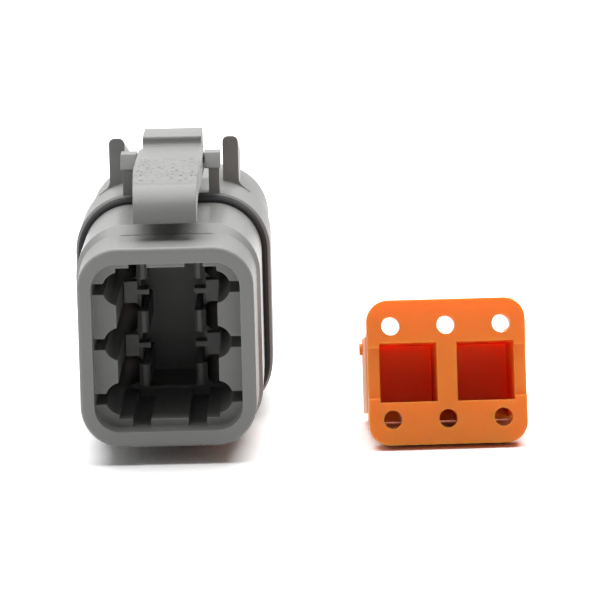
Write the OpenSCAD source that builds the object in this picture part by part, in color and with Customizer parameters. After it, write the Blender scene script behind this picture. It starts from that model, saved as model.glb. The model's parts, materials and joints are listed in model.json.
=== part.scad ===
// Sealed six-way plug housing with a pivoting latch, its seals, and the wedge lock laid beside it.
// Front (mating face) looks along -Y, the wires leave along +Y, +Z is up.
// The origin is the centre of the mating face.

/* [Nose] */
// Width of the nose at the mating face
nose_w = 13.2; // [12.8:0.1:13.4]
// Height of the nose at the mating face
nose_h = 15.1; // [14.8:0.1:15.3]
// Outer corner radius of the nose
nose_r = 3.1; // [2.6:0.1:3.4]
// Length of the nose, from the mating face to the flare
nose_len = 5.6; // [5:0.1:6.6]
// Rounding of the nose's front edge
rim_round = 0.35; // [0.2:0.05:0.45]
// How much the nose grows on each side towards the flare
nose_draft = 0.14; // [0:0.02:0.2]

/* [Body steps] */
// Width of the sealing sleeve
sleeve_w = 14; // [13.9:0.1:14.4]
// Height of the sealing sleeve
sleeve_h = 16.6; // [16.3:0.1:16.8]
// Corner radius of the sealing sleeve
sleeve_r = 3.85; // [3.6:0.05:4.1]
// Inward step of the flare where it meets the nose
flare_in = 0.6; // [0.4:0.05:0.7]
// Length of the sloped flare between nose and sleeve
flare_len = 1.2; // [0.4:0.1:1.6]
// Length from the mating face to the front of the shell
shell_front = 18.3; // [17.8:0.1:19]
// How far the shell stands out from the sleeve
shell_out = 0.64; // [0.5:0.01:0.7]
// Length of the raised shell
shell_len = 8.4; // [8:0.1:9.2]
// How far the rear skirt stands out from the sleeve
skirt_out = 0.34; // [0.2:0.01:0.4]
// Whole length of the housing
housing_len = 37; // [36:0.5:40]
// Edge chamfer of the shell and the skirt
step_chamfer = 0.2; // [0.1:0.05:0.25]

/* [Front recess] */
// Width of the recess that takes the wedge lock's plate
recess_w = 11.1; // [10.9:0.1:11.3]
// Height of that recess
recess_h = 12.7; // [12.5:0.1:12.9]
// Corner radius of that recess
recess_r = 1.9; // [1.6:0.1:2.2]
// Depth of that recess
recess_depth = 2; // [1.6:0.1:2.4]
// Width of the middle chamber behind the recess
chamber_w = 7.6; // [7.2:0.1:7.8]
// Height of that chamber
chamber_h = 11.5; // [11.4:0.1:11.7]
// Depth from the mating face to the chamber's back wall
chamber_depth = 14; // [13.8:0.1:15]

/* [Contact cavities] */
// Distance between the two columns of cavities
column_pitch = 7.1; // [7:0.02:7.2]
// Distance between rows of cavities
row_pitch = 4.19; // [4.05:0.01:4.25]
// Radius of each cavity
cavity_r = 1.25; // [1.15:0.05:1.3]
// Height of the key notch beside each cavity
notch_h = 0.82; // [0.6:0.02:1.2]
// Width of the guide slots in the top and bottom walls
guide_slot_w = 1.37; // [1:0.01:1.6]
// Depth of those guide slots
guide_slot_depth = 0.6; // [0.3:0.05:0.6]
// Distance of the guide slots from the middle
guide_slot_x = 2.1; // [1.8:0.05:2.4]

/* [Locking fingers] */
// Thickness of a locking finger
finger_t = 0.5; // [0.4:0.05:0.55]
// Height of a locking finger
finger_h = 1.7; // [1.4:0.1:1.9]
// How far the fingers reach into the chamber
finger_len = 2.8; // [2.4:0.1:3.4]
// Width of a partition post between two rows
partition_w = 1.05; // [0.8:0.05:1.1]
// Distance of a partition post's centre from the plug's middle
partition_x = 3.17; // [3.1:0.01:3.2]
// Height of a partition post
partition_h = 1.7; // [1.4:0.1:1.9]
// How far the partition posts stand out of the chamber's back wall
partition_len = 1.2; // [0.8:0.1:1.2]
// Thickness of the rib on each partition post
partition_rib_t = 0.4; // [0.3:0.05:0.5]
// Length of that rib
partition_rib_len = 0.9; // [0.6:0.05:1]
// Depth of the flex slot that the two columns of fingers stand in
flex_slot_depth = 7; // [5:0.5:9]

/* [Seals] */
// How far the front seal stands out from the sleeve
seal_out = 0.38; // [0.3:0.02:0.44]
// Length of the front seal along the plug
seal_len = 1; // [0.8:0.1:1.8]
// Depth of the seal's groove below the sleeve
seal_groove = 0.45; // [0.3:0.05:0.5]
// Wall of the skirt round the wire seal
skirt_wall = 1.3; // [1:0.1:1.5]
// Thickness of the wire seal along the plug
wire_seal_t = 7.4; // [6:0.1:8]
// Depth of the pocket that holds the wire seal
wire_pocket_depth = 9; // [8.4:0.1:9.6]
// Radius of each wire hole in the wire seal
wire_hole_r = 0.7; // [0.5:0.05:0.9]

/* [Latch lever] */
// Width of the lever's arm at the pivot
lever_w = 5.14; // [4.8:0.02:5.4]
// Width of the lever at the hook
hook_w = 4.74; // [4.2:0.02:5]
// Width of the lever's thumb pad
pad_w = 4.66; // [4.2:0.02:5]
// Depth of the hook's front face behind the mating face
hook_front = 3; // [2.4:0.1:3.6]
// Height of the hook's lower edge above the nose's top
hook_gap = 1.35; // [1.2:0.05:1.8]
// Height of the arm's top above the pivot's axis
arm_rise = 0.56; // [0.56:0.02:0.8]
// Thickness of the arm
arm_t = 1.5; // [1.3:0.05:1.7]
// Length of the arch over the hook
arch_len = 5.5; // [4.5:0.1:6.5]
// Drop of the arch from the arm's top to the hook's flat front
arch_drop = 2.5; // [2:0.1:2.6]
// Height of the thumb ridge above the arm
ridge_h = 0.8; // [0.7:0.01:1.3]
// Distance from the pivot's axis to the front of the thumb ridge
ridge_start = 3.45; // [3:0.05:4]
// Distance from the pivot's axis to the end of the thumb pad
pad_end = 9.1; // [8.4:0.1:9.8]

/* [Pivot and guards] */
// Distance of the pivot's axis behind the shell's front
pivot_back = 0.85; // [0.7:0.05:1.2]
// Height of the pivot's axis above the shell
pivot_rise = 2.64; // [2.5:0.02:3]
// Radius of the round bar that the lever turns on
bar_r = 0.4; // [0.36:0.01:0.42]
// Height of the square part of the torsion bar
wing_h = 1.14; // [0.95:0.01:1.2]
// Length of the square part along the plug
wing_len = 1.7; // [1.4:0.1:1.8]
// Width of the whole torsion bar
wing_span = 7.8; // [7.7:0.1:8.2]
// Width of each post under the torsion bar
post_w = 0.84; // [0.7:0.02:0.9]
// Distance of each post from the middle
post_x = 3.38; // [3.36:0.02:3.5]
// Thickness of each guard ear
ear_t = 1.25; // [1:0.05:1.4]
// Distance of each guard ear from the middle
ear_x = 4.55; // [4.5:0.05:4.8]
// Height of the guard ears above the shell
ear_h = 3.45; // [3.2:0.05:4.2]
// Distance from the mating face to the front of the ears
ear_front = 25.4; // [24.4:0.1:26]
// Length of the guard ears
ear_len = 9; // [7:0.5:10]
// Fall of the ears' upper edge towards the wire end, in degrees
ear_fall = 12; // [8:1:16]
// Fillet at the outer foot of each ear
ear_fillet = 0.8; // [0.5:0.1:1]

/* [Wedge lock] */
// Thickness of the wedge lock's plate
plate_t = 2; // [1.6:0.1:2.4]
// Corner radius of the plate
plate_r = 1.6; // [1.3:0.1:1.9]
// Thickness of the wedge lock's body between its rails
wedge_body_t = 5.6; // [5.2:0.1:5.8]
// Width of the wedge lock's body
wedge_body_w = 11.4; // [11.2:0.1:11.4]
// How far the rails stand out of the body's faces, between the contacts
rail_out = 0.6; // [0.4:0.05:0.7]
// Width of a rail
rail_w = 1.4; // [1:0.1:1.8]
// Whole length of the wedge lock
wedge_len = 11.8; // [11.5:0.1:12.4]
// Radius of each pin hole in the plate
pin_hole_r = 0.7; // [0.6:0.02:0.8]
// Width of each blind pocket
pocket_w = 4.36; // [4:0.02:4.5]
// Height of each blind pocket
pocket_h = 4.5; // [4.2:0.1:4.5]
// Depth of each blind pocket
pocket_depth = 9; // [7:0.5:9.5]
// Web between the two pockets
pocket_web = 1.5; // [1.3:0.05:1.7]
// How far the free snap arms stand out from the wedge lock's sides
snap_arm_out = 0.35; // [0.2:0.05:0.4]
// Height of a snap arm
snap_arm_h = 5.8; // [5:0.1:6]
// Radius of the nub on a snap arm
snap_nub_r = 0.45; // [0.3:0.05:0.5]
// How far the nub stands out from its snap arm
snap_nub_out = 0.25; // [0.15:0.05:0.35]
// Distance of the nub from the wedge lock's middle plane
snap_nub_z = 2.1; // [1.8:0.1:2.3]
// Height of the snap arm's window in the plate's edge
snap_window_h = 3.84; // [3:0.02:4.2]
// Depth of that window behind the plate's face
snap_window_depth = 0.35; // [0.2:0.05:0.5]
// Distance of the wedge lock's middle from the plug's middle, as laid down
wedge_x = 21; // [19:0.5:24]
// Distance of the wedge lock's plate behind the mating face, as laid down
wedge_y = 4.6; // [3:0.1:8]
// Turn of the wedge lock on the ground, in degrees
wedge_yaw = 1.5; // [0:0.5:5]

/* [Clearances] */
// Radial clearance between the bar and the lever's bore
bar_clear = 0.05; // [0.03:0.01:0.08]
// Side gap between the lever and each half of the torsion bar
side_clear = 0.07; // [0.04:0.01:0.12]
// Clearance between the wedge lock's plate and the recess, each side
plate_clear = 0.05; // [0.05:0.05:0.2]
// Clearance of the plate at its two ends
plate_end_clear = 0.35; // [0.3:0.01:0.6]
// Clearance of the locking fingers in the wedge lock's grooves
finger_clear = 0.08; // [0.05:0.01:0.15]
// Clearance between a seal and its seat
seal_clear = 0.03; // [0.02:0.01:0.06]

/* [Hidden] */
$fn = 48;
BIG = 50;
EPS = 0.01;
ROWS = [-row_pitch, 0, row_pitch];
MID_ROWS = [-row_pitch / 2, row_pitch / 2];
SIDES = [-1, 1];

shell_rear = shell_front + shell_len;
shell_top = sleeve_h / 2 + shell_out;
floor_z = -shell_top;
pivot_y = shell_front + pivot_back;
pivot_z = shell_top + pivot_rise;
cavity_x = column_pitch / 2;
wire_pocket_front = housing_len - wire_pocket_depth;
finger_in = cavity_x - cavity_r - finger_t;
flex_slot_w = 2 * (cavity_x - cavity_r + 0.1);
flex_slot_edge = 0.2;
flex_slot_rear = chamber_depth + flex_slot_depth;
hook_z = nose_h / 2 + hook_gap;
arm_top = pivot_z + arm_rise;
arm_under = arm_top - arm_t;

plate_w = recess_h - 2 * plate_end_clear;
plate_h = recess_w - 2 * plate_clear;
pocket_x = (pocket_w + pocket_web) / 2;
rail_t = wedge_body_t + 2 * rail_out;
wedge_tilt = atan2((plate_h - rail_t) / 2, wedge_len - plate_t);
wedge_lift = plate_h / 2 * cos(wedge_tilt) + plate_t * sin(wedge_tilt);

// ---------- shared shapes ----------

// Stands a shape drawn in the front view (X across, Y up) along the plug's depth.
module into_depth(from = 0) {
    translate([0, from, 0]) mirror([0, 1, 0]) rotate([90, 0, 0]) children();
}

// Extrudes a side view (first value along Y, second along Z) evenly about the middle.
module side_view(width) {
    rotate([90, 0, 90]) linear_extrude(width, center = true) children();
}

// A centred rectangle with round corners.
module rounded_rect(w, h, r) {
    square([w - 2 * r, h], center = true);
    square([w, h - 2 * r], center = true);
    for (x = SIDES, y = SIDES) translate([x * (w / 2 - r), y * (h / 2 - r)]) circle(r);
}

// Points of an arc from angle a to angle b.
function arc(cx, cy, r, a, b, steps = 5) =
    [for (i = [0 : steps]) let (t = a + (b - a) * i / steps) [cx + r * cos(t), cy + r * sin(t)]];

// Points of a quarter of an ellipse from angle a to angle b.
function oval_arc(cx, cy, rx, ry, a, b, steps = 8) =
    [for (i = [0 : steps]) let (t = a + (b - a) * i / steps) [cx + rx * cos(t), cy + ry * sin(t)]];

function reversed(list) = [for (i = [len(list) - 1 : -1 : 0]) list[i]];

// A solid whose edge profile runs round a rectangle with round corners.
// Each profile point is [distance outside the rectangle, depth], from front to rear.
module swept_block(w, h, r, profile) {
    cx = w / 2 - r;
    cz = h / 2 - r;
    front = profile[0][1];
    rear = profile[len(profile) - 1][1];
    quarter = concat([[0, front]], [for (p = profile) [r + p[0], p[1]]], [[0, rear]]);
    slab = concat([for (p = profile) [h / 2 + p[0], p[1]]],
                  [for (p = reversed(profile)) [-h / 2 - p[0], p[1]]]);
    for (mx = [0, 1], mz = [0, 1])
        mirror([mx, 0, 0]) mirror([0, mz, 0])
            translate([cx, cz, 0]) rotate_extrude(angle = 90) polygon(quarter);
    rotate([90, 0, 90]) linear_extrude(2 * cx, center = true) polygon(slab);
    for (mx = [0, 1])
        mirror([mx, 0, 0]) translate([cx, 0, 0])
            rotate([90, 0, 0]) linear_extrude(2 * cz, center = true) polygon(quarter);
}

// ---------- plug housing ----------

// The nose's edge, from the rim back to the flare.
function nose_profile() = concat(
    arc(-rim_round, rim_round, rim_round, -90, 0),
    [[nose_draft, nose_len + flare_len]]);

// The body's edge, from the flare back to the wire end.
function body_profile() = [
    [-flare_in, nose_len],
    [0, nose_len + flare_len],
    [0, shell_front - seal_len],
    [-seal_groove, shell_front - seal_len],
    [-seal_groove, shell_front],
    [shell_out - step_chamfer, shell_front],
    [shell_out, shell_front + step_chamfer],
    [shell_out, shell_rear - step_chamfer],
    [skirt_out, shell_rear + shell_out - skirt_out - step_chamfer],
    [skirt_out, housing_len - step_chamfer],
    [skirt_out - step_chamfer, housing_len]];

// Cavity openings, key notches and guide slots, in the front view.
module cavity_rounds() {
    for (x = SIDES, z = ROWS) translate([x * cavity_x, z]) circle(cavity_r);
}

module key_notches() {
    for (x = SIDES, z = ROWS)
        translate([x * (cavity_x + recess_w / 2) / 2, z])
            square([recess_w / 2 - cavity_x, notch_h], center = true);
}

module guide_slots() {
    slot_h = chamber_h + 2 * guide_slot_depth;
    for (x = SIDES) translate([x * guide_slot_x, 0]) square([guide_slot_w, slot_h], center = true);
}

module front_hollow() {
    into_depth(-1) linear_extrude(recess_depth + 1) rounded_rect(recess_w, recess_h, recess_r);
    into_depth(recess_depth - EPS) linear_extrude(chamber_depth - recess_depth + EPS)
        union() {
            square([chamber_w, chamber_h], center = true);
            cavity_rounds();
            key_notches();
            guide_slots();
        }
    into_depth(chamber_depth - EPS) linear_extrude(wire_pocket_front - chamber_depth + 2 * EPS)
        cavity_rounds();
    into_depth(chamber_depth - EPS) linear_extrude(flex_slot_depth)
        square([flex_slot_w, chamber_h - 2 * flex_slot_edge], center = true);
}

// The opening inside the skirt's wall, made smaller by a gap on each side.
module skirt_opening(gap = 0) {
    inset = skirt_wall - skirt_out + gap;
    rounded_rect(sleeve_w - 2 * inset, sleeve_h - 2 * inset, sleeve_r - inset);
}

module wire_pocket() {
    into_depth(wire_pocket_front) linear_extrude(wire_pocket_depth + 1) skirt_opening();
}

// One finger with the catch that holds a contact, on the +X side.
module locking_finger() {
    catch_len = 0.9;
    catch_out = 0.35;
    root = 0.5;
    tip = chamber_depth - finger_len;
    translate([finger_in, 0, -finger_h / 2]) linear_extrude(finger_h)
        polygon([[0, tip + 0.25], [0.2, tip], [finger_t, tip],
                 [finger_t + catch_out, tip + catch_out], [finger_t + catch_out, tip + catch_len],
                 [finger_t, tip + catch_len], [finger_t, flex_slot_rear + root],
                 [0, flex_slot_rear + root]]);
}

// The post between two cavities with its thin rib, on the +X side.
module partition_post() {
    root = 0.5;
    inner = partition_x - partition_w / 2;
    front = chamber_depth - partition_len;
    translate([inner, front, -partition_h / 2]) cube([partition_w, partition_len + root, partition_h]);
    translate([inner - partition_rib_len, front, -partition_rib_t / 2])
        cube([partition_rib_len + EPS, partition_len + root, partition_rib_t]);
}

module chamber_details() {
    for (m = [0, 1]) mirror([m, 0, 0]) {
        for (z = ROWS) translate([0, 0, z]) locking_finger();
        for (z = MID_ROWS) translate([0, 0, z]) partition_post();
    }
}

// The two posts and the torsion bar that the lever turns on.
module pivot_frame() {
    wing_in = lever_w / 2 + side_clear;
    wing_out = wing_span / 2;
    wing_front = pivot_y - wing_len / 2;
    edge = 0.3;
    for (s = SIDES) {
        translate([s * post_x - post_w / 2, wing_front + 0.15, shell_top - 0.6])
            cube([post_w, wing_len - 0.15, pivot_z - shell_top + 0.6]);
        translate([s * (wing_in + wing_out) / 2, 0, 0]) side_view(wing_out - wing_in)
            polygon(concat(
                [[wing_front, pivot_z - wing_h / 2]],
                reversed(arc(wing_front + edge, pivot_z + wing_h / 2 - edge, edge, 90, 180, 4)),
                [[pivot_y + wing_len / 2, pivot_z + wing_h / 2],
                 [pivot_y + wing_len / 2, pivot_z - wing_h / 2]]));
    }
    translate([0, pivot_y, pivot_z]) rotate([0, 90, 0])
        cylinder(h = 2 * wing_in + 0.4, r = bar_r, center = true);
}

// An ear across its length: round on top, with a fillet at its outer foot.
module ear_section() {
    root = 1.5;
    top_r = 0.45;
    foot = 0.1;
    translate([-ear_t / 2, -root]) square([ear_t, ear_h + root - top_r]);
    translate([-ear_t / 2 + top_r, 0]) square([ear_t - 2 * top_r, ear_h]);
    for (x = SIDES) translate([x * (ear_t / 2 - top_r), ear_h - top_r]) circle(top_r);
    translate([ear_t / 2, 0])
        polygon(concat(
            [[-EPS, -root], [-EPS, foot]],
            arc(ear_fillet, foot, ear_fillet, 180, 230),
            [[ear_fillet + 0.1, foot - 1.1], [ear_fillet, -root]]));
}

// The two ears that guard the thumb pad.
module guard_ears() {
    for (m = [0, 1]) mirror([m, 0, 0])
        translate([ear_x, ear_front, shell_top])
            intersection() {
                rotate([-ear_fall, 0, 0]) into_depth(-1) linear_extrude(ear_len + 2) ear_section();
                translate([-ear_t - ear_fillet, 0, -1.4]) cube([2 * (ear_t + ear_fillet), ear_len, BIG]);
            }
}

module plug_housing() {
    color([0.55, 0.56, 0.55]) {
        difference() {
            union() {
                into_depth() swept_block(nose_w, nose_h, nose_r, nose_profile());
                into_depth() swept_block(sleeve_w, sleeve_h, sleeve_r, body_profile());
                guard_ears();
            }
            front_hollow();
            wire_pocket();
        }
        chamber_details();
        pivot_frame();
    }
}

// ---------- latch lever ----------

// Side view of the upper surface, from the hook's foot to the end of the pad.
function lever_top() =
    let (ridge_y = pivot_y + ridge_start,
         end_y = pivot_y + pad_end,
         ridge_z = arm_top + ridge_h,
         pad_round = 0.8,
         arch_y = hook_front + arch_len,
         edge = 0.3,
         fillet = 0.5)
    concat(
        [[hook_front, hook_z]],
        oval_arc(arch_y, arm_top - arch_drop, arch_len, arch_drop, 180, 90),
        arc(ridge_y - fillet, arm_top + fillet, fillet, -90, 0),
        arc(ridge_y + edge, ridge_z - edge, edge, 180, 90, 4),
        arc(end_y - pad_round, ridge_z - pad_round, pad_round, 90, 0, 6));

// Side view of the under surface, from the end of the pad back to the hook's foot.
function lever_under() =
    let (end_y = pivot_y + pad_end,
         hook_t = 1.5,
         inner_len = arch_len - hook_t,
         inner_drop = arm_under - hook_z - 0.3)
    concat(
        [[end_y, arm_under + 0.4], [end_y - 0.4, arm_under]],
        oval_arc(hook_front + hook_t + inner_len, arm_under - inner_drop, inner_len, inner_drop, 90, 180),
        [[hook_front + hook_t, hook_z]]);

// The lever seen from above: narrower at the hook and at the pad.
module lever_plan() {
    end_y = pivot_y + pad_end;
    neck_y = pivot_y + wing_len / 2 + 0.3;
    step = (lever_w - pad_w) / 2;
    corner = 0.5;
    half = concat(
        [[hook_w / 2, hook_front - 1], [hook_w / 2, hook_front],
         [lever_w / 2, hook_front + arch_len + 2], [lever_w / 2, neck_y]],
        [for (i = [1 : 4]) let (t = i / 4)
            [lever_w / 2 - step * (1 - cos(180 * t)) / 2, neck_y + 1.4 * t]],
        arc(pad_w / 2 - corner, end_y - corner, corner, 0, 90));
    polygon(concat(half, [for (p = reversed(half)) [-p[0], p[1]]]));
}

module latch_lever() {
    color([0.55, 0.56, 0.55])
        difference() {
            intersection() {
                side_view(lever_w + 1) polygon(concat(lever_top(), lever_under()));
                translate([0, 0, hook_z - 1]) linear_extrude(arm_top + ridge_h - hook_z + 2)
                    lever_plan();
            }
            translate([0, pivot_y, pivot_z]) rotate([0, 90, 0])
                cylinder(h = lever_w + 2, r = bar_r + bar_clear, center = true);
        }
}

// ---------- seals ----------

// Silicone ring in its groove, against the shell's front.
module front_seal() {
    inset = seal_groove - seal_clear;
    lip = 0.15;
    start = shell_front - seal_len + seal_clear;
    color([0.25, 0.25, 0.26])
        difference() {
            into_depth() swept_block(sleeve_w, sleeve_h, sleeve_r,
                [[seal_out - lip, start], [seal_out, start + lip],
                 [seal_out, shell_front - lip], [seal_out - lip, shell_front]]);
            into_depth(start - 1) linear_extrude(seal_len + 2)
                rounded_rect(sleeve_w - 2 * inset, sleeve_h - 2 * inset, sleeve_r - inset);
        }
}

// Silicone grommet at the wire end, with a hole for each wire.
module wire_seal() {
    color([0.85, 0.33, 0.14])
        into_depth(wire_pocket_front) linear_extrude(wire_seal_t)
            difference() {
                skirt_opening(seal_clear);
                for (x = SIDES, z = ROWS) translate([x * cavity_x, z]) circle(wire_hole_r);
            }
}

// ---------- wedge lock ----------

// Drawn with its plate's face at depth 0, three holes across and two rows high.
module wedge_shape() {
    groove_floor = finger_in - finger_clear;
    groove_w = finger_h + 4 * finger_clear;
    groove_start = chamber_depth - finger_len - 4 * finger_clear;
    difference() {
        union() {
            into_depth() linear_extrude(plate_t) rounded_rect(plate_w, plate_h, plate_r);
            translate([-wedge_body_w / 2, plate_t - EPS, -wedge_body_t / 2])
                cube([wedge_body_w, wedge_len - plate_t + EPS, wedge_body_t]);
            wedge_rails();
            wedge_sides();
        }
        for (x = ROWS, z = SIDES)
            into_depth(-1) linear_extrude(plate_t + 2)
                translate([x, z * cavity_x]) circle(pin_hole_r);
        for (x = SIDES) {
            translate([x * pocket_x - pocket_w / 2, -1, -pocket_h / 2])
                cube([pocket_w, pocket_depth + 1, pocket_h]);
            translate([x * plate_w / 2 - 0.9, -1, -snap_window_h / 2])
                cube([1.8, snap_window_depth + 1, snap_window_h]);
        }
        for (x = ROWS, z = SIDES)
            translate([x - groove_w / 2, groove_start, z > 0 ? groove_floor : -groove_floor - BIG])
                cube([groove_w, BIG, BIG]);
    }
}

// Rails along the body's faces, at its ends and between the contacts.
module wedge_rails() {
    end_w = 0.6;
    for (x = concat([for (r = MID_ROWS) [r, rail_w]],
                    [for (e = SIDES) [e * (wedge_body_w - end_w) / 2, end_w]]))
        translate([x[0] - x[1] / 2, plate_t - EPS, -rail_t / 2])
            cube([x[1], wedge_len - plate_t + EPS, rail_t]);
}

// The snap arms on the body's two ends, each with its nub; the nubs are staggered.
module wedge_sides() {
    root_x = wedge_body_w / 2 - 0.5;
    arm_x = wedge_body_w / 2 + snap_arm_out;
    lead = 0.3;
    nub_back = 2.2;
    nub_root = 0.2;
    for (s = SIDES) mirror([s > 0 ? 0 : 1, 0, 0]) {
        translate([0, 0, -snap_arm_h / 2]) linear_extrude(snap_arm_h)
            polygon([[root_x, plate_t - EPS], [wedge_body_w / 2, plate_t - EPS],
                     [arm_x, plate_t + 1], [arm_x, wedge_len - 2 * lead],
                     [arm_x - lead, wedge_len - lead], [root_x, wedge_len - lead]]);
        translate([arm_x - nub_root, wedge_len - nub_back, -s * snap_nub_z])
            rotate([0, 90, 0]) cylinder(h = snap_nub_out + nub_root, r = snap_nub_r);
    }
}

// Laid beside the plug: it leans back on the plate's lower edge and the body's end.
module wedge_lock() {
    color([0.94, 0.42, 0.13])
        translate([wedge_x, wedge_y, floor_z + wedge_lift])
            rotate([-wedge_tilt, 0, wedge_yaw]) wedge_shape();
}

plug_housing();
latch_lever();
front_seal();
wire_seal();
wedge_lock();
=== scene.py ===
import json
import math
import bmesh
import bpy
from mathutils import Matrix, Vector


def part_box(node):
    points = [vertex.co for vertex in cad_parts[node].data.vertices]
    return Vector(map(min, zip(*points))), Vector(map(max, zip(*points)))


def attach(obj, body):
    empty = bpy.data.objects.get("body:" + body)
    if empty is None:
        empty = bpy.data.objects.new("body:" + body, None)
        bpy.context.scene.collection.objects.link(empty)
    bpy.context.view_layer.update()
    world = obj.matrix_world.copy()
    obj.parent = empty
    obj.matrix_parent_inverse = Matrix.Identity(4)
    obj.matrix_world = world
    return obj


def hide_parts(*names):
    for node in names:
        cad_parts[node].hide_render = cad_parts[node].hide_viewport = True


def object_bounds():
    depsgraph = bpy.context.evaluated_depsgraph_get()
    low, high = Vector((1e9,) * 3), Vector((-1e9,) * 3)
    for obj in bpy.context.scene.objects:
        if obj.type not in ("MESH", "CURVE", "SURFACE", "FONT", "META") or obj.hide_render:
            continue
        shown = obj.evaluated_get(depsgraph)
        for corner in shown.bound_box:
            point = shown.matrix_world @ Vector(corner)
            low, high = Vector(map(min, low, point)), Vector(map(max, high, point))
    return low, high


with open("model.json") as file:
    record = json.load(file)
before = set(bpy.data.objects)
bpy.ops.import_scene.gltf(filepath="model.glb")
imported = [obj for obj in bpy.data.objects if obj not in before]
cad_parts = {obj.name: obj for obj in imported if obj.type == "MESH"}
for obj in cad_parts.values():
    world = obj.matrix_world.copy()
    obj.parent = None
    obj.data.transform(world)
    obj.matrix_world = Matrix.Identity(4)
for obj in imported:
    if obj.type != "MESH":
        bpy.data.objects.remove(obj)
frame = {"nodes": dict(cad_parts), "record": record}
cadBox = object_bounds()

mm = 0.001
print("stage: frame loaded")


def linearColor(red, green, blue):   # screen values from 0 to 255
    def one(value):
        value /= 255.0
        return value / 12.92 if value <= 0.04045 else ((value + 0.055) / 1.055) ** 2.4
    return (one(red), one(green), one(blue), 1.0)


def addNode(tree, kind, place=(0, 0), **values):
    node = tree.nodes.new(kind)
    node.location = place
    for name, value in values.items():
        setattr(node, name, value)
    return node


def mathNode(tree, place, kind, *terms):
    # Each term is a number or an output socket.
    node = addNode(tree, "ShaderNodeMath", place, operation=kind)
    for slot, term in enumerate(terms):
        if isinstance(term, (int, float)):
            node.inputs[slot].default_value = term
        else:
            tree.links.new(term, node.inputs[slot])
    return node.outputs[0]


def newMaterial(name):
    material = bpy.data.materials.new(name)
    material.use_nodes = True
    tree = material.node_tree
    tree.nodes.clear()
    out = addNode(tree, "ShaderNodeOutputMaterial", (600, 0))
    return material, tree, out


def putOn(nodeName, material):
    piece = frame["nodes"][nodeName]
    piece.data.materials.clear()
    piece.data.materials.append(material)


def groupSockets(group, inputs, outputs):
    for kind, name, value in inputs:
        socket = group.interface.new_socket(name, in_out="INPUT", socket_type=kind)
        if value is not None:
            socket.default_value = value
    for kind, name in outputs:
        group.interface.new_socket(name, in_out="OUTPUT", socket_type=kind)


def noiseNode(tree, place, coordinates, scale, detail, roughness=0.5):
    noise = addNode(tree, "ShaderNodeTexNoise", place)
    noise.inputs["Detail"].default_value = detail
    noise.inputs["Roughness"].default_value = roughness
    tree.links.new(coordinates, noise.inputs["Vector"])
    if isinstance(scale, (int, float)):
        noise.inputs["Scale"].default_value = scale
    else:
        tree.links.new(scale, noise.inputs["Scale"])
    return noise.outputs["Fac"]


def buildMouldSkin():
    # Colour drift, fine grain and dull patches of a moulded surface.
    group = bpy.data.node_groups.new("mouldSkin", "ShaderNodeTree")
    groupSockets(group, [
        ("NodeSocketColor", "Color", (0.5, 0.5, 0.5, 1)),
        ("NodeSocketFloat", "Grain Per Metre", 4000.0),
        ("NodeSocketFloat", "Drift Per Metre", 350.0),
        ("NodeSocketFloat", "Drift", 0.06),
        ("NodeSocketFloat", "Speckle", 0.05),
        ("NodeSocketFloat", "Roughness", 0.4),
        ("NodeSocketFloat", "Roughness Drift", 0.1),
    ], [("NodeSocketColor", "Color"), ("NodeSocketFloat", "Roughness"), ("NodeSocketFloat", "Height")])
    link = group.links.new
    given = addNode(group, "NodeGroupInput", (-900, 0)).outputs
    out = addNode(group, "NodeGroupOutput", (700, 0)).inputs
    where = addNode(group, "ShaderNodeTexCoord", (-900, -300)).outputs["Object"]
    grain = noiseNode(group, (-600, -250), where, given["Grain Per Metre"], 3.0)
    drift = noiseNode(group, (-600, 0), where, given["Drift Per Metre"], 4.0, 0.6)

    driftSigned = mathNode(group, (-380, 60), "SUBTRACT", drift, 0.5)
    driftAmount = mathNode(group, (-200, 60), "MULTIPLY", driftSigned, given["Drift"])
    grainSigned = mathNode(group, (-380, -150), "SUBTRACT", grain, 0.5)
    grainAmount = mathNode(group, (-200, -150), "MULTIPLY", grainSigned, given["Speckle"])
    both = mathNode(group, (0, 0), "ADD", driftAmount, grainAmount)
    level = mathNode(group, (150, 0), "ADD", both, 1.0)
    scaled = addNode(group, "ShaderNodeVectorMath", (350, 100), operation="SCALE")
    link(given["Color"], scaled.inputs[0])
    link(level, scaled.inputs["Scale"])
    link(scaled.outputs[0], out["Color"])

    rough = mathNode(group, (0, -300), "MULTIPLY_ADD", driftSigned, given["Roughness Drift"],
                     given["Roughness"])
    link(rough, out["Roughness"])
    link(grain, out["Height"])
    return group


def buildSoftEdge():
    # The rounded look of a moulded edge, and a mask of the edges themselves, which places the painted edge
    # highlight.
    group = bpy.data.node_groups.new("softEdge", "ShaderNodeTree")
    groupSockets(group, [
        ("NodeSocketFloat", "Radius", 0.12 * mm),
        ("NodeSocketFloat", "Mask Width", 0.2 * mm),
        ("NodeSocketFloat", "Flat", 0.995),
        ("NodeSocketFloat", "Sharp", 0.8),
    ], [("NodeSocketVector", "Normal"), ("NodeSocketFloat", "Edge")])
    link = group.links.new
    given = addNode(group, "NodeGroupInput", (-700, 0)).outputs
    out = addNode(group, "NodeGroupOutput", (500, 0)).inputs
    narrow = addNode(group, "ShaderNodeBevel", (-450, 100), samples=6)
    link(given["Radius"], narrow.inputs["Radius"])
    link(narrow.outputs["Normal"], out["Normal"])
    wide = addNode(group, "ShaderNodeBevel", (-450, -100), samples=6)
    link(given["Mask Width"], wide.inputs["Radius"])
    flat = addNode(group, "ShaderNodeNewGeometry", (-450, -300))
    same = addNode(group, "ShaderNodeVectorMath", (-200, -150), operation="DOT_PRODUCT")
    link(wide.outputs["Normal"], same.inputs[0])
    link(flat.outputs["Normal"], same.inputs[1])
    edge = addNode(group, "ShaderNodeMapRange", (50, -150))
    link(given["Flat"], edge.inputs["From Min"])
    link(given["Sharp"], edge.inputs["From Max"])
    link(same.outputs["Value"], edge.inputs["Value"])
    link(edge.outputs["Result"], out["Edge"])
    return group


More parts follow.
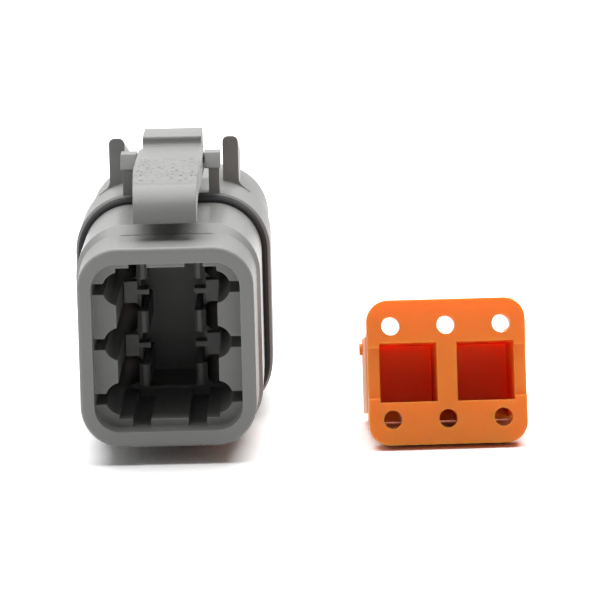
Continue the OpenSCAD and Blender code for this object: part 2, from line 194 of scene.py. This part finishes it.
def buildPits():
    # Scattered shallow pits, as trapped gas leaves them. Height is 0 at a pit's bottom and 1 outside.
    group = bpy.data.node_groups.new("pits", "ShaderNodeTree")
    groupSockets(group, [
        ("NodeSocketFloat", "Pits Per Metre", 2600.0),
        ("NodeSocketFloat", "Share", 0.3),
        ("NodeSocketFloat", "Size", 0.35),
        ("NodeSocketFloat", "Flat Bottom", 0.05),
    ], [("NodeSocketFloat", "Height")])
    link = group.links.new
    given = addNode(group, "NodeGroupInput", (-900, 0)).outputs
    out = addNode(group, "NodeGroupOutput", (500, 0)).inputs
    where = addNode(group, "ShaderNodeTexCoord", (-900, -300)).outputs["Object"]
    cells = addNode(group, "ShaderNodeTexVoronoi", (-650, 0))
    cells.inputs["Randomness"].default_value = 1.0
    link(where, cells.inputs["Vector"])
    link(given["Pits Per Metre"], cells.inputs["Scale"])
    bowl = addNode(group, "ShaderNodeMapRange", (-400, 0), interpolation_type="SMOOTHSTEP")
    link(cells.outputs["Distance"], bowl.inputs["Value"])
    link(given["Flat Bottom"], bowl.inputs["From Min"])
    link(given["Size"], bowl.inputs["From Max"])
    lot = addNode(group, "ShaderNodeSeparateColor", (-400, -250))
    link(cells.outputs["Color"], lot.inputs["Color"])
    empty = mathNode(group, (-150, -250), "GREATER_THAN", lot.outputs["Red"], given["Share"])
    link(mathNode(group, (150, 0), "MAXIMUM", bowl.outputs["Result"], empty), out["Height"])
    return group


def buildZone():
    # 1 between two places along one axis of the object, with soft ends.
    group = bpy.data.node_groups.new("zone", "ShaderNodeTree")
    groupSockets(group, [
        ("NodeSocketFloat", "Place", 0.0),
        ("NodeSocketFloat", "From", 0.0),
        ("NodeSocketFloat", "To", 10 * mm),
        ("NodeSocketFloat", "Blend", 0.5 * mm),
    ], [("NodeSocketFloat", "Mask")])
    link = group.links.new
    given = addNode(group, "NodeGroupInput", (-700, 0)).outputs
    out = addNode(group, "NodeGroupOutput", (600, 0)).inputs
    ends = []
    for first, second, lower in (("Place", "From", 150), ("To", "Place", -150)):
        gap = mathNode(group, (-450, lower), "SUBTRACT", given[first], given[second])
        share = mathNode(group, (-250, lower), "DIVIDE", gap, given["Blend"])
        held = addNode(group, "ShaderNodeClamp", (-50, lower))
        link(share, held.inputs["Value"])
        ends.append(held.outputs[0])
    link(mathNode(group, (200, 0), "MULTIPLY", *ends), out["Mask"])
    return group


mouldSkin = buildMouldSkin()
softEdge = buildSoftEdge()
pits = buildPits()
zone = buildZone()


def placeGroup(tree, group, place, **values):
    node = addNode(tree, "ShaderNodeGroup", place)
    node.node_tree = group
    for name, value in values.items():
        node.inputs[name.replace("_", " ")].default_value = value
    return node


greyPlastic = {
    "color": linearColor(130, 131, 129),
    # the edges are painted lighter than the body: a painted highlight where rounded edges catch the light
    "edgeHighlightColor": linearColor(150, 151, 149),
    "roughness": 0.42,
    "grainPerMetre": 5200.0,
    "grainDepth": 0.012 * mm,
    "specular": 0.3,
}
edgeHighlightShare = 0.5     # how much of the painted edge highlight shows on the edges


def moulded(name, values, drift=0.07, speckle=0.08):
    # A moulded material. Returns it with its tree and the nodes that a piece may add to.
    material, tree, out = newMaterial(name)
    link = tree.links.new
    surface = addNode(tree, "ShaderNodeBsdfPrincipled", (300, 0))
    surface.inputs["Specular IOR Level"].default_value = values["specular"]
    skin = placeGroup(tree, mouldSkin, (-500, 100), Color=values["color"], Drift=drift, Speckle=speckle,
                      Roughness=values["roughness"], Grain_Per_Metre=values["grainPerMetre"])
    edge = placeGroup(tree, softEdge, (-500, -300))
    # Mixes the lighter edge colour in along the edges: a painted highlight of the rounded edges.
    mix = addNode(tree, "ShaderNodeMix", (-150, 200), data_type="RGBA")
    link(mathNode(tree, (-320, 300), "MULTIPLY", edge.outputs["Edge"], edgeHighlightShare), mix.inputs["Factor"])
    link(skin.outputs["Color"], mix.inputs["A"])
    mix.inputs["B"].default_value = values["edgeHighlightColor"]
    link(mix.outputs["Result"], surface.inputs["Base Color"])
    link(skin.outputs["Roughness"], surface.inputs["Roughness"])
    bump = addNode(tree, "ShaderNodeBump", (50, -250))
    bump.inputs["Strength"].default_value = 1.0
    bump.inputs["Distance"].default_value = values["grainDepth"]
    link(skin.outputs["Height"], bump.inputs["Height"])
    link(edge.outputs["Normal"], bump.inputs["Normal"])
    link(bump.outputs["Normal"], surface.inputs["Normal"])
    link(surface.outputs[0], out.inputs["Surface"])
    nodes = {"skin": skin, "bump": bump, "surface": surface, "grainDepth": values["grainDepth"]}
    return material, tree, nodes


def objectPlace(tree, place):
    # The place on the object, whole and split into its axes.
    where = addNode(tree, "ShaderNodeTexCoord", place).outputs["Object"]
    split = addNode(tree, "ShaderNodeSeparateXYZ", (place[0] + 200, place[1]))
    tree.links.new(where, split.inputs[0])
    return where, split.outputs


def zoneMask(tree, place, source, low, high, blend=0.3 * mm):
    node = placeGroup(tree, zone, place, From=low, To=high, Blend=blend)
    tree.links.new(source, node.inputs["Place"])
    return node.outputs["Mask"]


def addHeights(tree, nodes, heights):
    # Adds (height, depth in metres) pairs to the grain of a moulded material.
    total = mathNode(tree, (0, -450), "MULTIPLY", nodes["skin"].outputs["Height"], nodes["grainDepth"])
    for index, (height, depth) in enumerate(heights):
        part = mathNode(tree, (0, -600 - 150 * index), "MULTIPLY", height, depth)
        total = mathNode(tree, (150, -600 - 150 * index), "ADD", total, part)
    nodes["bump"].inputs["Distance"].default_value = 1.0
    tree.links.new(total, nodes["bump"].inputs["Height"])


sleeveFinish = {
    "from": 6.8 * mm,       # depth at which the polished sealing sleeve starts
    "to": 17.4 * mm,
    "roughness": 0.3,
    "innerWide": 6.1 * mm,  # half sizes of the inside, which isn't polished
    "innerHigh": 7.3 * mm,
    "pitShare": 0.05,
    "pitDepth": 0.02 * mm,
}
partingLines = {
    "depth": 0.012 * mm,
    "halfWidth": 0.035 * mm,
    "front": (-1 * mm, 2.2 * mm),       # the depths that the lines keep to
    "left": (-5.6 * mm, -3.4 * mm),     # the widths of the short lines and of the long ones
    "wide": (-6 * mm, 6 * mm),
    "lines": (                          # height of each fine line, and its width
        (5.95 * mm, "wide"),
        (1.93 * mm, "left"),
        (-2.3 * mm, "left"),
        (-6.62 * mm, "wide"),
    ),
}


def finishHousing():
    material, tree, nodes = moulded("greyMouldedPlastic", greyPlastic)
    link = tree.links.new
    _, axes = objectPlace(tree, (-1500, -600))
    sleeve = zoneMask(tree, (-1100, -300), axes["Y"], sleeveFinish["from"], sleeveFinish["to"])
    inWide = zoneMask(tree, (-1100, 100), axes["X"], -sleeveFinish["innerWide"], sleeveFinish["innerWide"])
    inHigh = zoneMask(tree, (-1100, -100), axes["Z"], -sleeveFinish["innerHigh"], sleeveFinish["innerHigh"])
    within = mathNode(tree, (-800, -100), "MULTIPLY", inWide, inHigh)
    outside = mathNode(tree, (-600, -100), "SUBTRACT", 1.0, within)
    polish = addNode(tree, "ShaderNodeMix", (100, 100), data_type="FLOAT")
    link(mathNode(tree, (-400, -200), "MULTIPLY", sleeve, outside), polish.inputs["Factor"])
    link(nodes["skin"].outputs["Roughness"], polish.inputs["A"])
    polish.inputs["B"].default_value = sleeveFinish["roughness"]
    link(polish.outputs["Result"], nodes["surface"].inputs["Roughness"])
    holes = placeGroup(tree, pits, (-1100, -500), Share=sleeveFinish["pitShare"])
    heights = [(holes.outputs["Height"], sleeveFinish["pitDepth"])]
    front = zoneMask(tree, (-1100, -700), axes["Y"], *partingLines["front"])
    sides = {
        "left": zoneMask(tree, (-1100, -900), axes["X"], *partingLines["left"]),
        "wide": zoneMask(tree, (-1100, -1100), axes["X"], *partingLines["wide"]),
    }
    half = partingLines["halfWidth"]
    for index, (level, side) in enumerate(partingLines["lines"]):
        row = -700 - 200 * index
        line = zoneMask(tree, (-800, row), axes["Z"], level - half, level + half, half)
        line = mathNode(tree, (-600, row), "MULTIPLY", line, sides[side])
        line = mathNode(tree, (-400, row), "MULTIPLY", line, front)
        heights.append((line, -partingLines["depth"]))
    addHeights(tree, nodes, heights)
    return material


armTexture = {
    "from": 5.0 * mm,       # depths between which the arm's top is rough from the mould
    "to": 16.5 * mm,
    "blend": 2.5 * mm,
    "lumpsPerMetre": 3300.0,
    "lumpDetail": 4.0,
    "speckle": 0.12,
    "lumpDepth": 0.22 * mm,
    "pitShare": 0.55,
    "pitDepth": 0.3 * mm,
}


def finishLatch():
    material, tree, nodes = moulded("greyTexturedPlastic", greyPlastic, speckle=armTexture["speckle"])
    where, axes = objectPlace(tree, (-1500, -600))
    rough = zoneMask(tree, (-1100, -300), axes["Y"], armTexture["from"], armTexture["to"],
                     armTexture["blend"])
    lumps = noiseNode(tree, (-1100, -900), where, armTexture["lumpsPerMetre"], armTexture["lumpDetail"])
    holes = placeGroup(tree, pits, (-1100, -600), Share=armTexture["pitShare"])
    lumpy = mathNode(tree, (-700, -900), "MULTIPLY", lumps, rough)
    pitted = mathNode(tree, (-700, -600), "MULTIPLY", holes.outputs["Height"], rough)
    addHeights(tree, nodes, [(lumpy, armTexture["lumpDepth"]), (pitted, armTexture["pitDepth"])])
    return material


housingMaterial = finishHousing()
latchMaterial = finishLatch()
print("stage: grey plastic ready")


orangePlastic = {
    "color": (1.0, 0.25, 0.035, 1.0),
    # the edges are painted lighter than the body: a painted highlight where rounded edges catch the light
    "edgeHighlightColor": (0.98, 0.28, 0.06, 1.0),
    "roughness": 0.42,
    "grainPerMetre": 4200.0,
    "grainDepth": 0.008 * mm,
    "specular": 0.25,
    "drift": 0.05,
    "speckle": 0.05,
}
wedgeGlow = {
    "share": 0.8,                   # how much light goes through the thin walls
    "reach": (1.0, 0.25, 0.05),     # how far each colour goes, as shares of the depth
    "depth": 3 * mm,
}


def finishWedge():
    material, _, nodes = moulded("orangeMouldedPlastic", orangePlastic, orangePlastic["drift"],
                                 orangePlastic["speckle"])
    inputs = nodes["surface"].inputs
    inputs["Subsurface Weight"].default_value = wedgeGlow["share"]
    inputs["Subsurface Radius"].default_value = wedgeGlow["reach"]
    inputs["Subsurface Scale"].default_value = wedgeGlow["depth"]
    return material


# A dark grey for the front seal.
sealRubber = {
    "color": linearColor(50, 50, 52),
    # the edges are painted lighter than the body: a painted highlight where rounded edges catch the light
    "edgeHighlightColor": linearColor(64, 64, 66),
    "roughness": 0.7,
    "grainPerMetre": 6000.0,
    "grainDepth": 0.006 * mm,
    "specular": 0.2,
}
grommetRubber = {
    "color": (0.6, 0.12, 0.03, 1.0),
    # the edges are painted lighter than the body: a painted highlight where rounded edges catch the light
    "edgeHighlightColor": (0.7, 0.2, 0.06, 1.0),
    "roughness": 0.5,
    "grainPerMetre": 5000.0,
    "grainDepth": 0.006 * mm,
    "specular": 0.4,
}
wedgeMaterial = finishWedge()
sealMaterial, _, _ = moulded("frontSealDarkGrey", sealRubber)
grommetMaterial, _, _ = moulded("orangeSilicone", grommetRubber)

putOn("plug_housing", housingMaterial)
putOn("front_seal", sealMaterial)
putOn("wire_seal", grommetMaterial)
putOn("wedge_lock", wedgeMaterial)
print("stage: materials on the solids")


def asPiece(name, mesh, material, body):
    # A mesh as a piece that rides on a body, in the given material.
    piece = bpy.data.objects.new(name, mesh)
    bpy.context.scene.collection.objects.link(piece)
    mesh.materials.clear()
    mesh.materials.append(material)
    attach(piece, body)
    return piece


def appliedMesh(holder, name):
    # The mesh that an object's modifiers make, as plain data.
    bpy.context.view_layer.update()
    seen = holder.evaluated_get(bpy.context.evaluated_depsgraph_get())
    mesh = bpy.data.meshes.new_from_object(seen)
    mesh.name = name
    bpy.data.objects.remove(holder)
    return mesh


def roundedMesh(name, mesh, width, segments=3, limit=35.0):
    # Rounds the edges that turn by more than the limit, and shades the rest smooth.
    holder = bpy.data.objects.new(name, mesh)
    bpy.context.scene.collection.objects.link(holder)
    bevel = holder.modifiers.new("edges", "BEVEL")
    bevel.width = width
    bevel.segments = segments
    bevel.limit_method = "ANGLE"
    bevel.angle_limit = math.radians(limit)
    bevel.use_clamp_overlap = True
    result = appliedMesh(holder, name)
    form = bmesh.new()
    form.from_mesh(result)
    for face in form.faces:
        face.smooth = True
    for edge in form.edges:
        edge.smooth = edge.calc_face_angle(0.0) < math.radians(limit)
    form.to_mesh(result)
    form.free()
    return result


lever = {
    "edgeRound": 0.14 * mm,
    "weld": 0.001 * mm,     # points this close become one
    "flat": 1.0,            # degrees that faces may differ by and still be one
}


def buildLever():
    # The solid's own form, with round edges and a smooth arch.
    source = frame["nodes"]["latch_lever"]
    form = bmesh.new()
    form.from_mesh(source.data)
    form.transform(source.matrix_world)
    bmesh.ops.remove_doubles(form, verts=form.verts, dist=lever["weld"])
    bmesh.ops.dissolve_limit(form, angle_limit=math.radians(lever["flat"]), verts=form.verts,
                             edges=form.edges)
    mesh = bpy.data.meshes.new("latchLever")
    form.to_mesh(mesh)
    form.free()
    piece = asPiece("latchLever", roundedMesh("latchLever", mesh, lever["edgeRound"]), latchMaterial,
                    "latch")
    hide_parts("latch_lever")


pivotBar = {
    "reach": 0.85 * mm,     # how far the sloped front stands out before the bar
    "toPivot": 0.87 * mm,   # from the bar's front to the pivot's line
    "inner": 2.65 * mm,     # the bar's ends, from the middle of the plug
    "outer": 3.91 * mm,
    "half": 0.58 * mm,      # half of the bar's height
    "back": 0.5 * mm,       # how far it goes into the bar
    "edgeRound": 0.08 * mm,
}


def buildPivotSlopes():
    # The sloped front of the torsion bar's square halves.
    pivot = Vector(frame["record"]["behaviour"]["joints"][0]["pos_m"])
    front = pivot.y - pivotBar["toPivot"]
    low = pivot.z - pivotBar["half"]
    high = pivot.z + pivotBar["half"]
    back = front + pivotBar["back"]
    side = [(front - pivotBar["reach"], low), (back, low), (back, high), (front, high)]
    form = bmesh.new()
    for sign in (-1, 1):
        ends = []
        for x in (pivotBar["inner"], pivotBar["outer"]):
            ends.append([form.verts.new((sign * x, y, z)) for y, z in side])
        form.faces.new(ends[0])
        form.faces.new(ends[1])
        for i in range(len(side)):
            j = (i + 1) % len(side)
            form.faces.new((ends[0][i], ends[0][j], ends[1][j], ends[1][i]))
    bmesh.ops.recalc_face_normals(form, faces=form.faces)
    mesh = bpy.data.meshes.new("pivotBarSlopes")
    form.to_mesh(mesh)
    form.free()
    asPiece("pivotBarSlopes", roundedMesh("pivotBarSlopes", mesh, pivotBar["edgeRound"]), housingMaterial,
            "housing")


wedgeWeb = {
    "place": (21 * mm, 4.6 * mm, -3.143 * mm),      # the middle of the wedge's front
    "turn": 1.5,            # degrees, as the wedge lies
    "lean": -12.095,
    "half": 5.4 * mm,       # half of the width between the outer rails
    "from": 9.3 * mm,       # depth behind the plate's front
    "to": 10.2 * mm,
    "inner": 2.7 * mm,      # heights below the body's middle
    "outer": 3.62 * mm,
    "edgeRound": 0.1 * mm,
}


def buildWedgeWeb():
    # The cross web that joins the wedge's lower rails near its rear.
    form = bmesh.new()
    middle = (wedgeWeb["from"] + wedgeWeb["to"]) / 2
    level = -(wedgeWeb["inner"] + wedgeWeb["outer"]) / 2
    size = (2 * wedgeWeb["half"], wedgeWeb["to"] - wedgeWeb["from"],
            wedgeWeb["outer"] - wedgeWeb["inner"], 1.0)
    bmesh.ops.create_cube(form, size=1.0,
                          matrix=Matrix.Translation((0, middle, level)) @ Matrix.Diagonal(size))
    form.transform(Matrix.Translation(wedgeWeb["place"])
                   @ Matrix.Rotation(math.radians(wedgeWeb["turn"]), 4, "Z")
                   @ Matrix.Rotation(math.radians(wedgeWeb["lean"]), 4, "X"))
    mesh = bpy.data.meshes.new("wedgeWeb")
    form.to_mesh(mesh)
    form.free()
    asPiece("wedgeWeb", roundedMesh("wedgeWeb", mesh, wedgeWeb["edgeRound"]), wedgeMaterial,
            "housing")


buildLever()
buildPivotSlopes()
buildWedgeWeb()
print("stage: lever, torsion bar and wedge refined")


def nodeTree(name, inputs):
    group = bpy.data.node_groups.new(name, "GeometryNodeTree")
    for kind, label, value in inputs:
        socket = group.interface.new_socket(label, in_out="INPUT", socket_type=kind)
        if value is not None:
            socket.default_value = value
    group.interface.new_socket("Geometry", in_out="OUTPUT", socket_type="NodeSocketGeometry")
    return group


def finishTree(group, geometry, material):
    # Every tree ends with real geometry, shaded smooth, in one material.
    real = addNode(group, "GeometryNodeRealizeInstances", (900, 0))
    smooth = addNode(group, "GeometryNodeSetShadeSmooth", (1100, 0))
    paint = addNode(group, "GeometryNodeSetMaterial", (1300, 0))
    out = addNode(group, "NodeGroupOutput", (1500, 0))
    paint.inputs["Material"].default_value = material
    group.links.new(geometry, real.inputs["Geometry"])
    group.links.new(real.outputs["Geometry"], smooth.inputs["Geometry"])
    group.links.new(smooth.outputs["Geometry"], paint.inputs["Geometry"])
    group.links.new(paint.outputs["Geometry"], out.inputs["Geometry"])


def grownPiece(name, group, values, body, material):
    holder = bpy.data.objects.new(name, bpy.data.meshes.new(name))
    bpy.context.scene.collection.objects.link(holder)
    modifier = holder.modifiers.new(name, "NODES")
    modifier.node_group = group
    for item in group.interface.items_tree:
        if item.in_out == "INPUT" and item.name in values:
            modifier[item.identifier] = values[item.name]
    return asPiece(name, appliedMesh(holder, name), material, body)


sealRibs = {
    "count": 2,
    "pitch": 0.46 * mm,
    "radius": 0.17 * mm,
    "sunk": 0.6,            # share of a rib's radius that lies in the seal
    "corner": 4.2 * mm,
    "cornerSteps": 16,
    "sectionSteps": 12,
}


def buildSealRibs():
    # Sealing ribs that follow the front seal's outline.
    group = nodeTree("ribsRoundOutline", [
        ("NodeSocketFloat", "Width", 10 * mm), ("NodeSocketFloat", "Height", 10 * mm),
        ("NodeSocketFloat", "Corner", 3 * mm), ("NodeSocketFloat", "Radius", 0.2 * mm),
        ("NodeSocketInt", "Count", 2), ("NodeSocketFloat", "Pitch", 0.5 * mm),
        ("NodeSocketVector", "Start", (0.0, 0.0, 0.0))])
    link = group.links.new
    given = addNode(group, "NodeGroupInput", (-900, 0))
    outline = addNode(group, "GeometryNodeCurvePrimitiveQuadrilateral", (-600, 100))
    link(given.outputs["Width"], outline.inputs["Width"])
    link(given.outputs["Height"], outline.inputs["Height"])
    fillet = addNode(group, "GeometryNodeFilletCurve", (-400, 100), mode="POLY")
    link(outline.outputs[0], fillet.inputs["Curve"])
    link(given.outputs["Corner"], fillet.inputs["Radius"])
    fillet.inputs["Count"].default_value = sealRibs["cornerSteps"]
    stand = addNode(group, "GeometryNodeTransform", (-200, 100))
    stand.inputs["Rotation"].default_value = (math.radians(90), 0, 0)
    link(fillet.outputs[0], stand.inputs["Geometry"])
    section = addNode(group, "GeometryNodeCurvePrimitiveCircle", (-400, -200))
    section.inputs["Resolution"].default_value = sealRibs["sectionSteps"]
    link(given.outputs["Radius"], section.inputs["Radius"])
    rib = addNode(group, "GeometryNodeCurveToMesh", (0, 0))
    link(stand.outputs[0], rib.inputs["Curve"])
    link(section.outputs[0], rib.inputs["Profile Curve"])
    step = addNode(group, "ShaderNodeCombineXYZ", (-400, -450))
    link(given.outputs["Pitch"], step.inputs["Y"])
    line = addNode(group, "GeometryNodeMeshLine", (-200, -450), mode="OFFSET")
    link(given.outputs["Count"], line.inputs["Count"])
    link(given.outputs["Start"], line.inputs["Start Location"])
    link(step.outputs[0], line.inputs["Offset"])
    copies = addNode(group, "GeometryNodeInstanceOnPoints", (400, 0))
    link(line.outputs[0], copies.inputs["Points"])
    link(rib.outputs[0], copies.inputs["Instance"])
    finishTree(group, copies.outputs[0], sealMaterial)
    low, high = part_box("front_seal")
    inset = sealRibs["sunk"] * sealRibs["radius"]
    first = (low[1] + high[1] - sealRibs["pitch"]) / 2
    grownPiece("frontSealRibs", group, {
        "Width": high[0] - low[0] - 2 * inset, "Height": high[2] - low[2] - 2 * inset,
        "Corner": sealRibs["corner"], "Radius": sealRibs["radius"], "Count": sealRibs["count"],
        "Pitch": sealRibs["pitch"], "Start": (0.0, first, 0.0)}, "housing", sealMaterial)


collars = {
    "holeRadius": 0.7 * mm,
    "lip": 0.22 * mm,       # radius of the raised ring's own section
    "ringSteps": 40,
    "sectionSteps": 10,
}


def buildCollars():
    # The raised ring round each wire hole in the grommet.
    holes = [mount["pos_m"] for mount in frame["record"]["mounts"] if mount["name"].startswith("wire_hole")]
    columns = {round(place[0] / mm, 2) for place in holes}
    rows = {round(place[2] / mm, 2) for place in holes}
    across = max(place[0] for place in holes) - min(place[0] for place in holes)
    high = max(place[2] for place in holes) - min(place[2] for place in holes)
    group = nodeTree("ringsOnGrid", [
        ("NodeSocketFloat", "Across", 10 * mm), ("NodeSocketFloat", "High", 10 * mm),
        ("NodeSocketFloat", "Ring Radius", 1 * mm), ("NodeSocketFloat", "Lip", 0.2 * mm),
        ("NodeSocketInt", "Columns", 2), ("NodeSocketInt", "Rows", 3),
        ("NodeSocketFloat", "Depth", 0.0)])
    link = group.links.new
    given = addNode(group, "NodeGroupInput", (-900, 0))
    grid = addNode(group, "GeometryNodeMeshGrid", (-600, 200))
    link(given.outputs["Across"], grid.inputs["Size X"])
    link(given.outputs["High"], grid.inputs["Size Y"])
    link(given.outputs["Columns"], grid.inputs["Vertices X"])
    link(given.outputs["Rows"], grid.inputs["Vertices Y"])
    ring = addNode(group, "GeometryNodeCurvePrimitiveCircle", (-600, -50))
    ring.inputs["Resolution"].default_value = collars["ringSteps"]
    link(given.outputs["Ring Radius"], ring.inputs["Radius"])
    section = addNode(group, "GeometryNodeCurvePrimitiveCircle", (-600, -250))
    section.inputs["Resolution"].default_value = collars["sectionSteps"]
    link(given.outputs["Lip"], section.inputs["Radius"])
    collar = addNode(group, "GeometryNodeCurveToMesh", (-300, -100))
    link(ring.outputs[0], collar.inputs["Curve"])
    link(section.outputs[0], collar.inputs["Profile Curve"])
    copies = addNode(group, "GeometryNodeInstanceOnPoints", (0, 0))
    link(grid.outputs["Mesh"], copies.inputs["Points"])
    link(collar.outputs[0], copies.inputs["Instance"])
    back = addNode(group, "ShaderNodeCombineXYZ", (200, -300))
    link(given.outputs["Depth"], back.inputs["Y"])
    stand = addNode(group, "GeometryNodeTransform", (400, 0))
    stand.inputs["Rotation"].default_value = (math.radians(90), 0, 0)
    link(copies.outputs[0], stand.inputs["Geometry"])
    link(back.outputs[0], stand.inputs["Translation"])
    finishTree(group, stand.outputs[0], grommetMaterial)
    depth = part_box("wire_seal")[1][1]
    grownPiece("grommetCollars", group, {
        "Across": across, "High": high, "Ring Radius": collars["holeRadius"] + collars["lip"],
        "Lip": collars["lip"], "Columns": len(columns), "Rows": len(rows), "Depth": depth},
        "housing", grommetMaterial)


buildSealRibs()
buildCollars()
print("stage: seals dressed")


studio = {
    "aim": (0.01, 0.01, 0.0),   # what both lamps point at
    "floorSize": 6.0,
    "floorColor": 0.82,         # share of light that the floor gives back to the object
    "floorShown": 1.2,          # the floor's colour as the camera and gloss show it, which keeps the shadow
    "worldLight": 0.05,
    "topPower": 14.5,
    "topSize": 1.0,
    "topHeight": 0.7,
    "topBack": 0.22,
    "sidePower": 1.25,          # a broad weak lamp that opens the shadows from the front and the left
    "sideSize": 0.9,
    "sideOut": 0.65,
    "sideFront": -0.25,
    "sideHeight": 0.4,
}


def showsBackground(tree, place):
    # 1 for rays from the camera, in gloss and through glass, 0 for the rest.
    rays = addNode(tree, "ShaderNodeLightPath", place).outputs
    left, height = place
    either = mathNode(tree, (left + 200, height), "MAXIMUM", rays["Is Camera Ray"], rays["Is Glossy Ray"])
    return mathNode(tree, (left + 400, height), "MAXIMUM", either, rays["Is Transmission Ray"])


def buildFloor():
    half = studio["floorSize"] / 2
    level = cadBox[0][2]
    mesh = bpy.data.meshes.new("floor")
    corners = [(-half, -half, level), (half, -half, level), (half, half, level), (-half, half, level)]
    mesh.from_pydata(corners, [], [(0, 1, 2, 3)])
    floor = bpy.data.objects.new("floor", mesh)
    bpy.context.scene.collection.objects.link(floor)
    material, tree, out = newMaterial("paleFloor")
    link = tree.links.new
    dull = addNode(tree, "ShaderNodeBsdfDiffuse", (100, 100))
    dull.inputs["Color"].default_value = (*[studio["floorColor"]] * 3, 1.0)
    shown = addNode(tree, "ShaderNodeBsdfDiffuse", (100, -100))
    shown.inputs["Color"].default_value = (*[studio["floorShown"]] * 3, 1.0)
    mix = addNode(tree, "ShaderNodeMixShader", (300, 0))
    link(showsBackground(tree, (-600, 300)), mix.inputs["Fac"])
    link(dull.outputs[0], mix.inputs[1])
    link(shown.outputs[0], mix.inputs[2])
    link(mix.outputs[0], out.inputs["Surface"])
    mesh.materials.append(material)


def buildWorld():
    world = bpy.data.worlds.new("studioWorld")
    world.use_nodes = True
    tree = world.node_tree
    tree.nodes.clear()
    out = addNode(tree, "ShaderNodeOutputWorld", (600, 0))
    seen = addNode(tree, "ShaderNodeBackground", (200, 100))
    seen.inputs["Color"].default_value = (1, 1, 1, 1)
    seen.inputs["Strength"].default_value = 1.0
    lit = addNode(tree, "ShaderNodeBackground", (200, -100))
    lit.inputs["Color"].default_value = (1, 1, 1, 1)
    lit.inputs["Strength"].default_value = studio["worldLight"]
    mix = addNode(tree, "ShaderNodeMixShader", (400, 0))
    tree.links.new(showsBackground(tree, (-500, 300)), mix.inputs["Fac"])
    tree.links.new(lit.outputs[0], mix.inputs[1])
    tree.links.new(seen.outputs[0], mix.inputs[2])
    tree.links.new(mix.outputs[0], out.inputs["Surface"])
    bpy.context.scene.world = world


def softBox(name, power, size, place, target):
    lamp = bpy.data.lights.new(name, "AREA")
    lamp.energy = power
    lamp.shape = "SQUARE"
    lamp.size = size
    box = bpy.data.objects.new(name, lamp)
    place = Vector(place)
    aim = (Vector(target) - place).to_track_quat("-Z", "Y")
    box.matrix_world = Matrix.Translation(place) @ aim.to_matrix().to_4x4()
    bpy.context.scene.collection.objects.link(box)


buildFloor()
buildWorld()
softBox("topSoftBox", studio["topPower"], studio["topSize"],
        (studio["aim"][0], studio["topBack"], studio["topHeight"]), studio["aim"])
softBox("leftSoftBox", studio["sidePower"], studio["sideSize"],
        (-studio["sideOut"], studio["sideFront"], studio["sideHeight"]), studio["aim"])
print("stage: studio lit")


viewPoint = {
    "place": (11.98 * mm, -303.6 * mm, 55.78 * mm),
    "down": 9.72,        # degrees below level
    "turn": 0.44,        # degrees to the left
    "roll": 1.4,
    "lens": 252.7,
    "sensor": 36.0,
    "near": 0.01,        # metres before which nothing is seen
}
lens = bpy.data.cameras.new("camera")
lens.lens = viewPoint["lens"]
lens.sensor_width = viewPoint["sensor"]
lens.clip_start = viewPoint["near"]
camera = bpy.data.objects.new("camera", lens)
camera.matrix_world = (
    Matrix.Translation(viewPoint["place"])
    @ Matrix.Rotation(math.radians(viewPoint["turn"]), 4, "Z")
    @ Matrix.Rotation(math.radians(90 - viewPoint["down"]), 4, "X")
    @ Matrix.Rotation(math.radians(-viewPoint["roll"]), 4, "Z"))
bpy.context.scene.collection.objects.link(camera)
bpy.context.scene.camera = camera
bpy.context.scene.view_settings.view_transform = "Standard"
print("stage: camera set")
